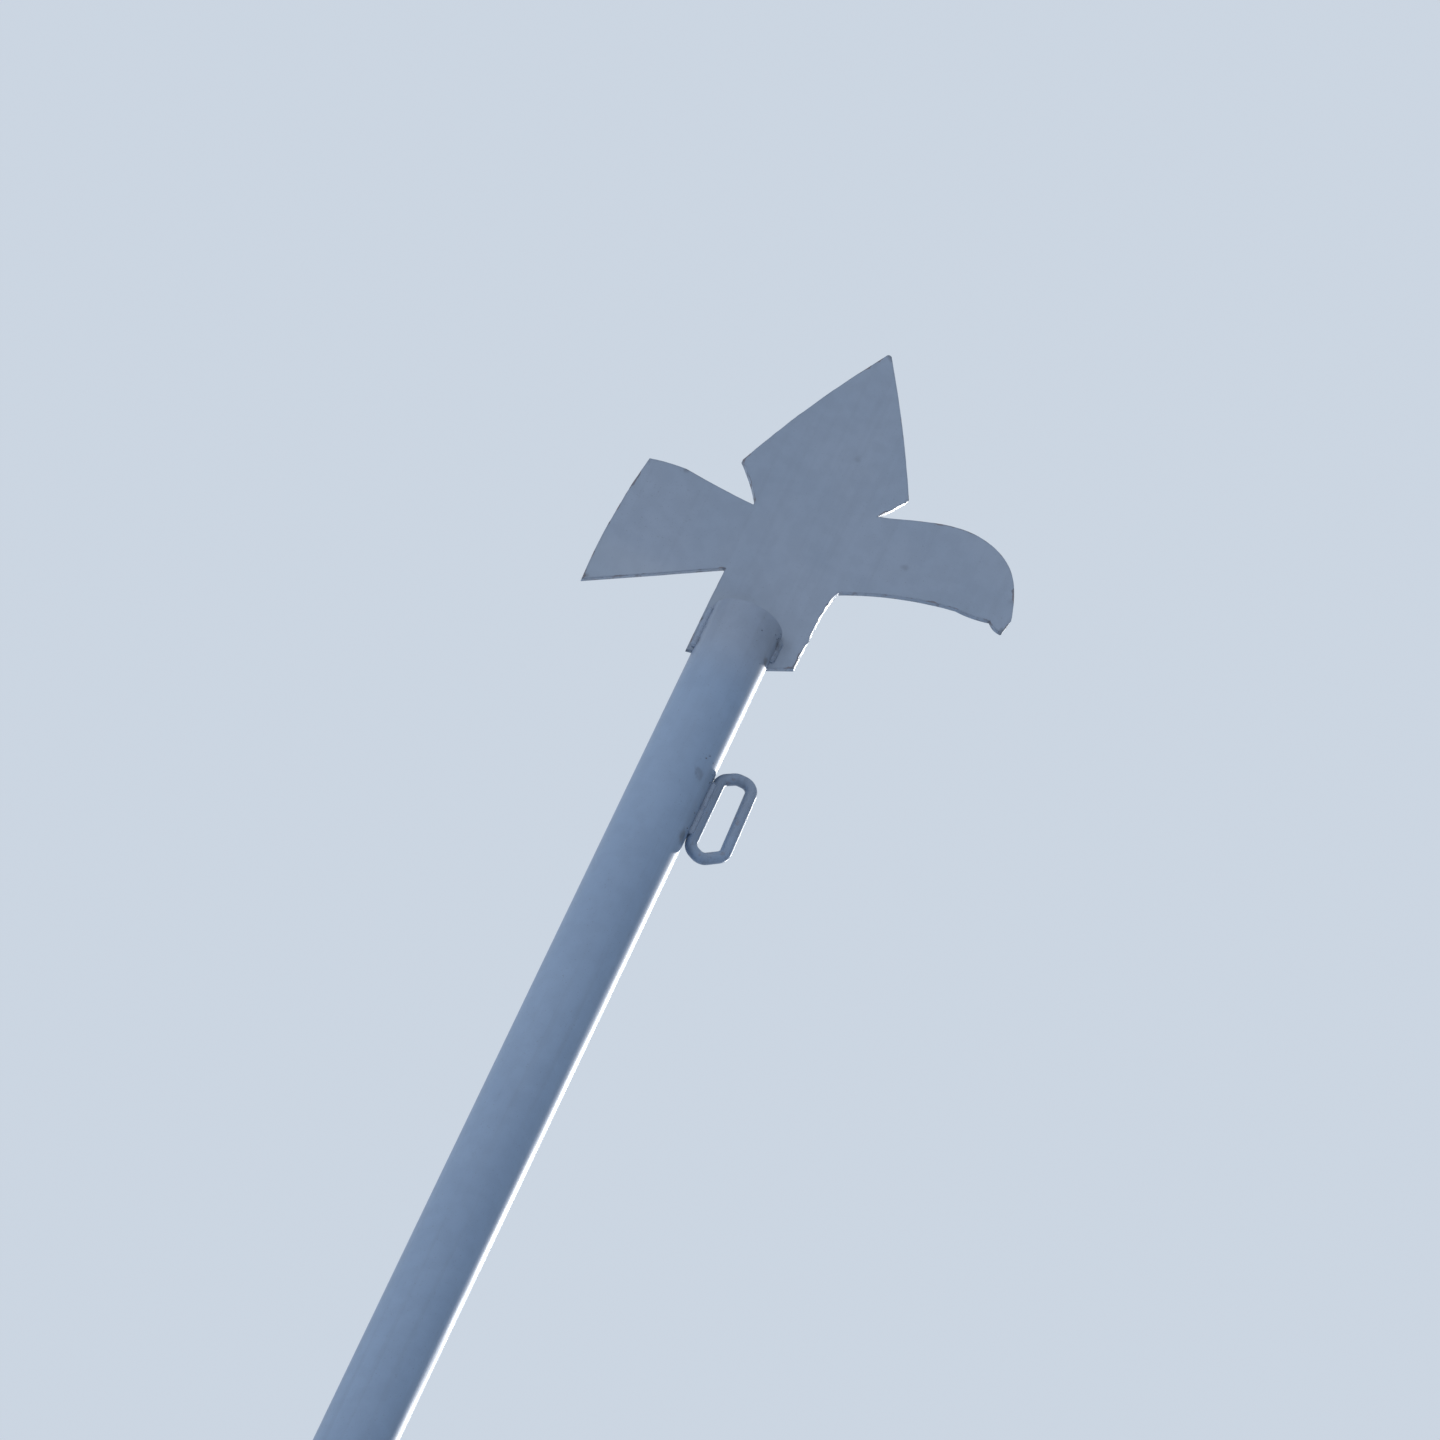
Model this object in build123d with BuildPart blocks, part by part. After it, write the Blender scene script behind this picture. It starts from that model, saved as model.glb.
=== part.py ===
from build123d import *
import math
import os

# Flagpole with a flat bird on top: one length of steel pipe welded to a bolted foot.
# Millimetres, +Z up. The origin is on the underside of the foot plate, on the pole's axis.
# The bird and the halyard ring lie in the XZ plane, with the beak and the ring towards +X.

# Pipe: one standard length of 2 inch pipe
pipe_d = 60.3
pipe_wall = 3.6
pipe_length = 6000.0

# Foot: a square plate, four stiffening ribs and four holes for anchor bolts
foot_side = 240.0
foot_thickness = 12.0
foot_corner_r = 16.0
anchor_spacing = 180.0
anchor_hole_d = 18.0
rib_height = 150.0
rib_thickness = 8.0
rib_nose = 12.0
rib_edge_margin = 10.0
rib_corner_cut = 9.0

# Bird: one flat plate, whose tab stands in a slot across the top of the pipe
bird_thickness = 5.0
tab_left_stand_out = 5.0
tab_left_depth = 49.0
tab_middle_depth = 33.0
tab_right_stand_out = 20.5
tab_right_depth = 22.0
slot_clearance = 0.2

# The bird's outline, as (across, up) from the middle of the pipe's top
wing_tip = (11.0, 292.5)
wing_front_bulge = (45.7, 232.2)
wing_front_root = (76.5, 170.0)
nape = (60.0, 143.5)
crown_start = (97.0, 159.5)
crown_top = (140.0, 168.0)
crown_front = (172.0, 155.0)
brow = (187.0, 130.0)
beak_front = (193.2, 107.5)
beak_tip = (190.3, 93.3)
beak_hook = (182.5, 94.6)
beak_gape = (177.0, 98.8)
beak_under = (166.0, 96.3)
chin = (148.0, 95.4)
jaw = (105.0, 83.5)
throat = (57.0, 61.0)
breast = (53.0, 40.0)
vent_height = 35.4
tail_low_corner = (-135.5, -31.8)
tail_end_bulge = (-136.2, 14.0)
tail_top_corner = (-129.3, 99.3)
tail_top_rise = (-113.5, 103.3)
tail_top_crest = (-98.0, 105.5)
tail_top_dip = (-68.0, 103.2)
rump = (-37.0, 102.2)
wing_heel = (-37.0, 106.0)
wing_heel_curve = (-45.0, 118.0)
wing_rear_corner = (-61.0, 136.0)
wing_rear_bulge = (-29.8, 211.6)
wing_tip_round = 3.0

# Half-round plates that close the pipe's top on each side of the bird
cap_thickness = 4.0
cap_recess = 1.0
cap_clearance = 0.3

# Round bar, used for the halyard ring and for the cleat
bar_d = 10.0
bar_end_chamfer = 1.0

# Halyard ring: a closed link, hand-bent, with one long side along the pipe
# The crest is its upper corner at the pipe, and the toe is its lower end
ring_drop = 137.0
ring_height = 81.5
ring_reach = 26.4
ring_crest_reach = 11.5
ring_crest_rise = 7.5
ring_toe_reach = 12.5
ring_toe_rise_inner = 6.0
ring_toe_rise_outer = 11.5
ring_toe_swing = 2.0
ring_bend_r = 9.0

# Cleat: a horn with turned-out ends on two short posts
cleat_height = 1200.0
cleat_gap = 32.0
cleat_length = 170.0
cleat_post_spacing = 60.0
cleat_tip_length = 30.0
cleat_tip_angle = 22.0
cleat_bend_r = 40.0

# Welds
tab_weld_leg = 4.5
tab_weld_margin = 4.0
ring_weld_length = 18.0
ring_weld_rise = 3.0
rib_weld_leg = 5.0
rib_weld_margin = 4.0

# Gap left where a round piece meets another piece
seat_gap = 0.2

# Places that follow from the sizes above
pipe_r = pipe_d / 2
bore_r = pipe_r - pipe_wall
bar_r = bar_d / 2
pipe_top = foot_thickness + pipe_length
tab_left = (-pipe_r - tab_left_stand_out, -tab_left_depth)
tab_middle = (pipe_r, -tab_middle_depth)
tab_right = (pipe_r + tab_right_stand_out, -tab_right_depth)
vent = (tab_left[0], vent_height)

os.makedirs("parts", exist_ok=True)


def save(part, name):
    """Labels a finished piece and writes it as one STEP file."""
    part.label = name
    export_step(part, f"parts/{name}.step")


def outward(turn):
    """Level direction away from the pole's axis, turned about it from +X."""
    return Vector(1, 0, 0).rotate(Axis.Z, turn)


def radial_plane(turn, height):
    """Upright plane through the pole's axis: its X points outwards and its Y points up."""
    return Plane(origin=(0, 0, height), x_dir=outward(turn), z_dir=outward(turn - 90))


head_plane = radial_plane(0, pipe_top)


# Pipe, with the slot that takes the bird's tab
with BuildPart() as pipe:
    with BuildSketch(Plane.XY.offset(foot_thickness)):
        Circle(pipe_r)
        Circle(bore_r, mode=Mode.SUBTRACT)
    extrude(amount=pipe_length)
    with BuildSketch(head_plane):
        with BuildLine():
            Polyline(
                (tab_left[0], tab_left[1] - slot_clearance),
                (tab_middle[0], tab_middle[1] - slot_clearance),
                (tab_right[0], tab_right[1] - slot_clearance),
                (tab_right[0], pipe_wall),
                (tab_left[0], pipe_wall),
                close=True,
            )
        make_face()
    extrude(amount=bird_thickness / 2 + slot_clearance, both=True, mode=Mode.SUBTRACT)
save(pipe.part, "pole_pipe")

# Bird: raised wing, head with a hooked beak, spread tail and the tab below
with BuildPart() as bird:
    with BuildSketch(head_plane) as outline:
        with BuildLine():
            ThreePointArc(wing_tip, wing_front_bulge, wing_front_root)
            Line(wing_front_root, nape)
            Spline(nape, crown_start, crown_top, crown_front, brow, beak_front)
            Line(beak_front, beak_tip)
            ThreePointArc(beak_tip, beak_hook, beak_gape)
            ThreePointArc(beak_gape, beak_under, chin)
            ThreePointArc(chin, jaw, throat)
            Polyline(throat, breast, tab_right, tab_middle, tab_left, vent, tail_low_corner)
            ThreePointArc(tail_low_corner, tail_end_bulge, tail_top_corner)
            ThreePointArc(tail_top_corner, tail_top_rise, tail_top_crest)
            ThreePointArc(tail_top_crest, tail_top_dip, rump)
            Line(rump, wing_heel)
            ThreePointArc(wing_heel, wing_heel_curve, wing_rear_corner)
            ThreePointArc(wing_rear_corner, wing_rear_bulge, wing_tip)
        make_face()
        fillet(outline.vertices().sort_by_distance(wing_tip)[0], radius=wing_tip_round)
    extrude(amount=bird_thickness / 2, both=True)
save(bird.part, "bird_plate")

# Half-round plates inside the pipe's mouth, in front of the bird and behind it
cap_top = pipe_top - cap_recess
cap_flat = bird_thickness / 2 + cap_clearance
for side, name in ((-1, "top_cap_front"), (1, "top_cap_back")):
    with BuildPart() as cap:
        with BuildSketch(Plane.XY.offset(cap_top - cap_thickness)):
            Circle(bore_r - cap_clearance)
            with Locations((0, side * (cap_flat + bore_r))):
                Rectangle(pipe_d, 2 * bore_r, mode=Mode.INTERSECT)
        extrude(amount=cap_thickness)
    save(cap.part, name)


def beads_along_pipe(turn, plate_thickness, leg, low, high):
    """Two upright fillet welds where a radial plate meets the pipe, one on each face of the plate."""
    face = plate_thickness / 2
    toe_on_pipe = math.sqrt(pipe_r**2 - (face + leg) ** 2)
    with BuildPart() as beads:
        with BuildSketch(Plane(origin=(0, 0, low), x_dir=outward(turn), z_dir=(0, 0, 1))):
            with BuildLine():
                Polyline((bore_r, face), (pipe_r + leg, face), (toe_on_pipe, face + leg), close=True)
            make_face()
            mirror(about=Plane.XZ)
            Circle(pipe_r + seat_gap, mode=Mode.SUBTRACT)
        extrude(amount=high - low)
    return beads.part


def tab_edge(across):
    """Height of the tab's lower edge, above the pipe's top, at a place across the pipe."""
    low, high = (tab_left, tab_middle) if across < pipe_r else (tab_middle, tab_right)
    share = (across - low[0]) / (high[0] - low[0])
    return low[1] + share * (high[1] - low[1])


# Welds where the bird's tab leaves the pipe
weld_high = pipe_top - tab_weld_margin
for turn, side, name in ((180, -1, "bird_weld_left"), (0, 1, "bird_weld_right")):
    weld_low = pipe_top + tab_edge(side * (pipe_r + tab_weld_leg)) + tab_weld_margin
    save(beads_along_pipe(turn, bird_thickness, tab_weld_leg, weld_low, weld_high), name)

# Halyard ring: straight runs of round bar with bent corners, closed on itself
ring_x = pipe_r + seat_gap + bar_r
ring_high = pipe_top - ring_drop
ring_low = ring_high - ring_height
ring_side_high = ring_high - ring_crest_rise
ring_side_low = ring_low + ring_toe_rise_inner
with BuildPart() as ring:
    with BuildLine() as ring_path:
        FilletPolyline(
            (ring_x, 0, ring_side_high),
            (ring_x + ring_crest_reach, 0, ring_high),
            (ring_x + ring_reach, 0, ring_high),
            (ring_x + ring_reach + ring_toe_swing, 0, ring_low + ring_toe_rise_outer),
            (ring_x + ring_toe_reach, 0, ring_low),
            (ring_x, 0, ring_side_low),
            radius=ring_bend_r,
            close=True,
        )
    with BuildSketch(Plane(origin=ring_path.line @ 0, z_dir=ring_path.line % 0)):
        Circle(bar_r)
    sweep()
save(ring.part, "halyard_ring")

# Welds that fill the grooves beside the ring's long side, near its two ends
for level, name in (
    (ring_side_high - ring_bend_r - ring_weld_length, "ring_weld_upper"),
    (ring_side_low + ring_bend_r, "ring_weld_lower"),
):
    with BuildPart() as ring_weld:
        with BuildSketch(Plane.XY.offset(level)):
            with BuildLine():
                root = (pipe_r, bar_r / 2)
                rise_on_pipe = bar_r + ring_weld_rise
                on_pipe = (math.sqrt(pipe_r**2 - rise_on_pipe**2), rise_on_pipe)
                Polyline(root, on_pipe, (ring_x, bar_r), close=True)
            make_face()
            mirror(about=Plane.XZ)
            Circle(pipe_r + seat_gap, mode=Mode.SUBTRACT)
            with Locations((ring_x, 0)):
                Circle(bar_r + seat_gap, mode=Mode.SUBTRACT)
        extrude(amount=ring_weld_length)
    save(ring_weld.part, name)

# Cleat horn: a round bar along the pole, whose ends turn away from it
horn_x = pipe_r + cleat_gap + bar_r
tip_angle = math.radians(cleat_tip_angle)
tip_out = cleat_tip_length * math.sin(tip_angle)
bend_level = cleat_length / 2 - cleat_tip_length * math.cos(tip_angle)
with BuildPart() as horn:
    with BuildLine() as horn_path:
        FilletPolyline(
            (horn_x + tip_out, 0, cleat_height - cleat_length / 2),
            (horn_x, 0, cleat_height - bend_level),
            (horn_x, 0, cleat_height + bend_level),
            (horn_x + tip_out, 0, cleat_height + cleat_length / 2),
            radius=cleat_bend_r,
        )
    with BuildSketch(Plane(origin=horn_path.line @ 0, z_dir=horn_path.line % 0)):
        Circle(bar_r)
    sweep()
    chamfer(horn.faces().filter_by(GeomType.PLANE).edges(), length=bar_end_chamfer)
save(horn.part, "cleat_horn")

# Cleat posts, hollowed at their ends to sit on the pipe and against the horn
for half, side in (("upper", 1), ("lower", -1)):
    level = cleat_height + side * cleat_post_spacing / 2
    with BuildPart() as post:
        with BuildSketch(Plane.YZ.offset(bore_r)):
            with Locations((0, level)):
                Circle(bar_r)
        extrude(amount=horn_x - bore_r)
        with BuildSketch(Plane.XY.offset(level - bar_d)):
            Circle(pipe_r + seat_gap)
            with Locations((horn_x, 0)):
                Circle(bar_r + seat_gap)
        extrude(amount=2 * bar_d, mode=Mode.SUBTRACT)
    save(post.part, f"cleat_post_{half}")

# Foot plate with its anchor bolt holes
with BuildPart() as foot:
    with BuildSketch():
        RectangleRounded(foot_side, foot_side, foot_corner_r)
        with GridLocations(anchor_spacing, anchor_spacing, 2, 2):
            Circle(anchor_hole_d / 2, mode=Mode.SUBTRACT)
    extrude(amount=foot_thickness)
save(foot.part, "foot_plate")

# Stiffening ribs between the anchor bolts, cut away at the corner where the pipe meets the
# foot plate, and the welds that hold them to both
rib_inner = pipe_r + seat_gap
rib_outer = foot_side / 2 - rib_edge_margin
for turn, side in ((0, "right"), (90, "back"), (180, "left"), (270, "front")):
    with BuildPart() as rib:
        with BuildSketch(radial_plane(turn, foot_thickness)):
            with BuildLine():
                Polyline(
                    (rib_inner, rib_corner_cut),
                    (rib_inner, rib_height),
                    (rib_inner + rib_nose, rib_height),
                    (rib_outer, rib_nose),
                    (rib_outer, 0),
                    (rib_inner + rib_corner_cut, 0),
                    close=True,
                )
            make_face()
        extrude(amount=rib_thickness / 2, both=True)
    save(rib.part, f"rib_{side}")

    bead_start = rib_inner + rib_corner_cut + rib_weld_margin
    face = rib_thickness / 2
    with BuildPart() as rib_weld:
        add(
            beads_along_pipe(
                turn,
                rib_thickness,
                rib_weld_leg,
                foot_thickness + rib_corner_cut + rib_weld_margin,
                foot_thickness + rib_height - rib_weld_margin,
            )
        )
        bead_plane = Plane(
            origin=outward(turn) * bead_start + Vector(0, 0, foot_thickness),
            x_dir=outward(turn + 90),
            z_dir=outward(turn),
        )
        with BuildSketch(bead_plane):
            with BuildLine():
                Polyline((face, 0), (face + rib_weld_leg, 0), (face, rib_weld_leg), close=True)
            make_face()
            mirror(about=Plane.YZ)
        extrude(amount=rib_outer - rib_weld_margin - bead_start)
    save(rib_weld.part, f"rib_weld_{side}")
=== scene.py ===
# %% [markdown]
# # A steel flagpole with a flat bird on its head
#
# The pole is one six metre length of steel pipe. Its foot is a square plate with four ribs
# and four anchor bolts, and its head carries a bird cut out of steel plate, let into a slot
# across the pipe. Below the bird a bent link takes the halyard, and a cleat ties it off.
#
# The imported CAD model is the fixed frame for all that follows. A CAD solid whose shape is
# right keeps its place and only gets a finish. Where the real surface is rougher than the
# solid, as in a weld or a hand-cut edge, a worked-up piece stands in for it.

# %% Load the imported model
import bmesh
import bpy
import math
import random
from mathutils import Matrix, Quaternion, Vector, kdtree, noise


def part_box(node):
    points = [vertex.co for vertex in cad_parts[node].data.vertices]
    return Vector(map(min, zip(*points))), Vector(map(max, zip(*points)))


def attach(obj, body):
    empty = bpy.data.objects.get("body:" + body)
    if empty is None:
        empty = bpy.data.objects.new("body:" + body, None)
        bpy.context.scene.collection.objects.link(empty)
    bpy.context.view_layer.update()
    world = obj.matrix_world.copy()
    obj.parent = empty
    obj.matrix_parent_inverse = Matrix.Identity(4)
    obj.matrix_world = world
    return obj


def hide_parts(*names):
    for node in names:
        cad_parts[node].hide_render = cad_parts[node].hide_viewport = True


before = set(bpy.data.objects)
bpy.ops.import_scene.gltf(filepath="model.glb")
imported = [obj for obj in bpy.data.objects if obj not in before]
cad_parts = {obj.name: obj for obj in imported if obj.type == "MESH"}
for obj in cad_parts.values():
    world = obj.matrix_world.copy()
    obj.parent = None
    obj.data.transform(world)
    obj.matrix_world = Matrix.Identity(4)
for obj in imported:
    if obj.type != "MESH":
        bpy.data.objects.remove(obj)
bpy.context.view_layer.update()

# %% [markdown]
# Blender works in metres, while a steelworker thinks in millimetres. One factor turns the
# maker's sizes into Blender's. The sizes that other pieces seat on are read from the frame
# and never written a second time, so the dressing follows the CAD if that changes.

# %% Sizes from the frame
MM = 0.001
pipe_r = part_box("pole_pipe")[1].x
pipe_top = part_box("pole_pipe")[1].z
bird_low, bird_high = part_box("bird_plate")
plate_face = bird_high.y
foot_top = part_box("foot_plate")[1].z
ring_low, ring_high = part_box("halyard_ring")
cap_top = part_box("top_cap_front")[1].z
print(f"pipe {2000 * pipe_r:.1f} mm across, top at {pipe_top:.3f} m")

# %% [markdown]
# The photographer stood on the ground and looked up at the head of the pole through a long
# lens, with the camera tilted over, so the pole leans across the picture. The lens is given
# in millimetres for Blender's 36 mm sensor. Turning the camera about its own line of sight
# after it has been aimed gives the tilt.

# %% Camera
camera_place = Vector((0, -7.15, 1.632))
camera_aim = Vector((0.014, 0, 5.918))
camera_tilt = math.radians(25.5)
camera_lens = 260.05

camera = bpy.data.objects.new("camera", bpy.data.cameras.new("camera"))
camera.data.lens = camera_lens
camera.data.clip_end = 500
camera.rotation_mode = "QUATERNION"
camera.location = camera_place
line_of_sight = camera_aim - camera_place
camera.rotation_quaternion = line_of_sight.to_track_quat("-Z", "Y") @ Quaternion((0, 0, 1), camera_tilt)
bpy.context.scene.collection.objects.link(camera)
bpy.context.scene.camera = camera
print(f"camera looks up at {math.degrees(math.asin(line_of_sight.normalized().z)):.1f} degrees")

# %% [markdown]
# The light and every finish below are worked out by nodes. A few short helpers keep those
# node trees readable: one adds a node and plugs in its inputs, and the others name the steps
# that come back again and again, such as fine noise, a soft threshold and a mix of two
# colours.


# %% Helpers for node trees
def add_node(tree, kind, inputs=None, **settings):
    """Adds a shader node. An input given as a socket is linked, and any other is set."""
    made = tree.nodes.new("ShaderNode" + kind)
    for name, value in settings.items():
        setattr(made, name, value)
    for name, value in (inputs or {}).items():
        if isinstance(value, bpy.types.NodeSocket):
            tree.links.new(value, made.inputs[name])
        else:
            made.inputs[name].default_value = value
    return made


def grain(tree, place, scale, detail=3.0):
    """Cloudy noise from 0 to 1, with scale features to the metre."""
    return add_node(tree, "TexNoise", {"Vector": place, "Scale": scale, "Detail": detail}).outputs["Fac"]


def threshold(tree, value, low, high, at_low=0.0, at_high=1.0):
    """Goes smoothly from at_low, where value is low, to at_high, where it is high."""
    inputs = {"Value": value, "From Min": low, "From Max": high, "To Min": at_low, "To Max": at_high}
    return add_node(tree, "MapRange", inputs, interpolation_type="SMOOTHSTEP").outputs["Result"]


def maths(tree, operation, first, second):
    """One step of arithmetic."""
    return add_node(tree, "Math", {0: first, 1: second}, operation=operation).outputs[0]


def times(tree, first, second):
    """The product of two values."""
    return maths(tree, "MULTIPLY", first, second)


def plus(tree, first, second):
    """The sum of two values."""
    return maths(tree, "ADD", first, second)


def mixed(tree, share, first, second):
    """first where share is 0, second where it is 1."""
    inputs = {"Factor": share, "A": first, "B": second}
    return add_node(tree, "Mix", inputs, data_type="RGBA").outputs["Result"]


def height_of(tree, place):
    """How high the place is, in metres."""
    return add_node(tree, "SeparateXYZ", {"Vector": place}).outputs["Z"]


def drawn_out(tree, place, along):
    """The place with its height shrunk, so that noise on it draws out into upright streaks."""
    return add_node(tree, "Mapping", {"Vector": place, "Scale": (1, 1, along)}).outputs["Vector"]


def new_group(name, takes, gives):
    """An empty node group, with the sockets of its inside end and its outside end.

    A value of three numbers makes a vector socket, and one of four makes a colour socket.
    """
    group = bpy.data.node_groups.new(name, "ShaderNodeTree")
    for way, sockets in (("INPUT", takes), ("OUTPUT", gives)):
        for socket, value in sockets.items():
            kind = "Float" if isinstance(value, float) else {3: "Vector", 4: "Color"}[len(value)]
            made = group.interface.new_socket(socket, in_out=way, socket_type="NodeSocket" + kind)
            made.default_value = value
    print(f"group {name}, with {len(takes)} inputs")
    return group, group.nodes.new("NodeGroupInput").outputs, group.nodes.new("NodeGroupOutput").inputs


def use_group(tree, group, **inputs):
    """Places a group in a tree and gives its outputs. Input names are written in lower case."""
    made = tree.nodes.new("ShaderNodeGroup")
    made.node_tree = group
    for name, value in inputs.items():
        socket = made.inputs[name.replace("_", " ").capitalize()]
        if isinstance(value, bpy.types.NodeSocket):
            tree.links.new(value, socket)
        else:
            socket.default_value = value
    return made.outputs


ORIGIN = (0, 0, 0)
BLACK = (0, 0, 0, 1)
WHITE = (1, 1, 1, 1)

# %% [markdown]
# A studio for something six metres tall can't use small lamps, because they would light the
# head and leave the foot dark. Sun lamps and the world reach every height alike. The soft
# light comes from the world, which is brightest on the left and a little to the front, as a
# wide screen beside the pole would make it, and fades evenly to the other side. Two lamps
# behind the pole and to its right only touch its edges: the higher one draws the bright line
# down the side of the pipe, and the lower one catches the cut edges that look down. The
# backdrop's paleness is shown only to the camera, to reflections and through glass, so it
# puts no extra light on the steel.

# %% Lights and backdrop
bpy.context.scene.view_settings.view_transform = "Standard"


def sun_lamp(name, bearing, height, softness, strength):
    """A sun lamp. The bearing is in degrees to the right of straight behind the pole."""
    lamp = bpy.data.objects.new(name, bpy.data.lights.new(name, "SUN"))
    lamp.data.energy = strength
    lamp.data.angle = math.radians(softness)
    side, up = math.radians(bearing), math.radians(height)
    towards = Vector((math.sin(side) * math.cos(up), math.cos(side) * math.cos(up), math.sin(up)))
    lamp.rotation_mode = "QUATERNION"
    lamp.rotation_quaternion = towards.to_track_quat("Z", "Y")
    bpy.context.scene.collection.objects.link(lamp)
    print(f"{name}: {height} degrees up, strength {strength}")


sun_lamp("pipe_edge_lamp", bearing=40, height=28, softness=4, strength=1.25)
sun_lamp("cut_edge_lamp", bearing=31, height=13, softness=4, strength=1.15)

studio_light = 0.77
screen_side = (-0.85, -0.50, 0)
backdrop_pale = (0.60, 0.67, 0.76, 1)

world = bpy.data.worlds.new("studio")
bpy.context.scene.world = world
world.use_nodes = True
sky = world.node_tree
sky.nodes.clear()
direction = add_node(sky, "TexCoord").outputs["Generated"]
facing = add_node(sky, "VectorMath", {0: direction, 1: screen_side}, operation="DOT_PRODUCT")
screen = plus(sky, times(sky, facing.outputs["Value"], studio_light), studio_light)
lit = add_node(sky, "Background", {"Color": WHITE, "Strength": screen}).outputs[0]
shown = add_node(sky, "Background", {"Color": backdrop_pale}).outputs[0]
path = add_node(sky, "LightPath").outputs
shows = maths(sky, "MAXIMUM", path["Is Camera Ray"], path["Is Glossy Ray"])
shows = maths(sky, "MAXIMUM", shows, path["Is Transmission Ray"])
seen = add_node(sky, "MixShader", {0: shows, 1: lit, 2: shown}).outputs[0]
add_node(sky, "OutputWorld", {"Surface": seen})

# %% [markdown]
# The floor is a wide pale disc that fades into the backdrop. Its underside is clear, so that
# the pole can be looked at from below as well. It isn't part of the flagpole.

# %% Floor
floor_radius = 150
floor_height = -0.2 * MM
floor_pale = (0.58, 0.645, 0.73, 1)
floor_mesh = bpy.data.meshes.new("floor")
floor_form = bmesh.new()
bmesh.ops.create_circle(floor_form, cap_ends=True, segments=96, radius=floor_radius)
bmesh.ops.translate(floor_form, vec=(0, 0, floor_height), verts=floor_form.verts)
floor_form.to_mesh(floor_mesh)
floor_form.free()
floor = bpy.data.objects.new("floor", floor_mesh)
bpy.context.scene.collection.objects.link(floor)
floor_finish = bpy.data.materials.new("pale_floor")
floor_finish.use_nodes = True
ground = floor_finish.node_tree
above = ground.nodes["Principled BSDF"]
above.inputs["Base Color"].default_value = floor_pale
above.inputs["Roughness"].default_value = 0.9
from_below = add_node(ground, "NewGeometry").outputs["Backfacing"]
clear = add_node(ground, "BsdfTransparent").outputs[0]
two_sided = add_node(ground, "MixShader", {0: from_below, 1: above.outputs[0], 2: clear}).outputs[0]
ground.links.new(two_sided, ground.nodes["Material Output"].inputs["Surface"])
floor_mesh.materials.append(floor_finish)
print(f"floor {2 * floor_radius} m across")

# %% [markdown]
# Grey paint that has stood outdoors for years is never one colour. It fades in patches as
# wide as a hand, clouds within a finger's width, and carries faint upright streaks where
# rain has run. Close up, the film has the slight peel of a roller coat. All painted pieces
# share this group, each with its own colours.

# %% Weathered paint
weathered_paint, given, made = new_group(
    "weathered_paint",
    {"Place": ORIGIN, "Paint": BLACK, "Faded": BLACK, "Grime": BLACK, "Streaks": 0.3, "Dullness": 0.45},
    {"Color": BLACK, "Roughness": 0.0, "Height": 0.0},
)
film = weathered_paint
place = given["Place"]
hand, finger, trickle, pinhead = 9, 75, 160, 800  # features of this width to the metre
patches = threshold(film, grain(film, place, hand, 4), 0.36, 0.64)
clouds = threshold(film, grain(film, place, finger), 0.3, 0.7)
streaks = threshold(film, grain(film, drawn_out(film, place, 0.02), trickle), 0.48, 0.74)
flecks = threshold(film, grain(film, place, pinhead, 1), 0.68, 0.76)
colour = mixed(film, patches, given["Paint"], given["Faded"])
colour = mixed(film, times(film, streaks, given["Streaks"]), colour, given["Grime"])
colour = mixed(film, times(film, flecks, 0.4), colour, given["Grime"])
shade = threshold(film, clouds, 0, 1, 0.975, 1.025)
colour = add_node(film, "HueSaturation", {"Color": colour, "Value": shade}).outputs[0]
film.links.new(colour, made["Color"])
dull = times(film, plus(film, patches, streaks), 0.07)
film.links.new(plus(film, dull, given["Dullness"]), made["Roughness"])
peel = grain(film, place, 420, 2)
brushed = grain(film, drawn_out(film, place, 0.04), 900, 2)
relief = plus(film, times(film, peel, 0.7), times(film, brushed, 0.3))
film.links.new(relief, made["Height"])

# %% [markdown]
# Welding burns the paint round a joint, and later rain carries rust down from it. A burn is
# a ragged blot round a point, and the same blot also places painted shade. A run starts just
# under a point and thins out below it. Both are masks, which the paint uses to mix in a
# darker colour.

# %% Burnt paint, painted shade and rust runs
ragged_blot, given, made = new_group(
    "ragged_blot",
    {"Place": ORIGIN, "Centre": ORIGIN, "Reach": 0.02, "Raggedness": 1.2},
    {"Mask": 0.0},
)
ends = {0: given["Place"], 1: given["Centre"]}
distance = add_node(ragged_blot, "VectorMath", ends, operation="DISTANCE").outputs["Value"]
ragged = maths(ragged_blot, "SUBTRACT", grain(ragged_blot, given["Place"], 130, 4), 0.5)
ragged = times(ragged_blot, ragged, given["Raggedness"])
edge = plus(ragged_blot, maths(ragged_blot, "DIVIDE", distance, given["Reach"]), ragged)
ragged_blot.links.new(threshold(ragged_blot, edge, 0.2, 1.0, 1.0, 0.0), made["Mask"])

run_stain, given, made = new_group(
    "run_stain",
    {"Place": ORIGIN, "Source": ORIGIN, "Width": 0.01, "Length": 0.2},
    {"Mask": 0.0},
)
ends = {0: given["Source"], 1: given["Place"]}
away = add_node(run_stain, "VectorMath", ends, operation="SUBTRACT").outputs["Vector"]
below = height_of(run_stain, away)
level = add_node(run_stain, "VectorMath", {0: away, 1: (1, 1, 0)}, operation="MULTIPLY").outputs["Vector"]
aside = add_node(run_stain, "VectorMath", {0: level}, operation="LENGTH").outputs["Value"]
begins = threshold(run_stain, below, 0, 0.006)
fades = threshold(run_stain, below, 0, given["Length"], 1.0, 0.0)
narrows = threshold(run_stain, aside, 0, given["Width"], 1.0, 0.0)
upright = drawn_out(run_stain, given["Place"], 0.03)
trickles = threshold(run_stain, grain(run_stain, upright, 320), 0.38, 0.62)
mask = times(run_stain, times(run_stain, begins, fades), times(run_stain, narrows, trickles))
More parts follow.
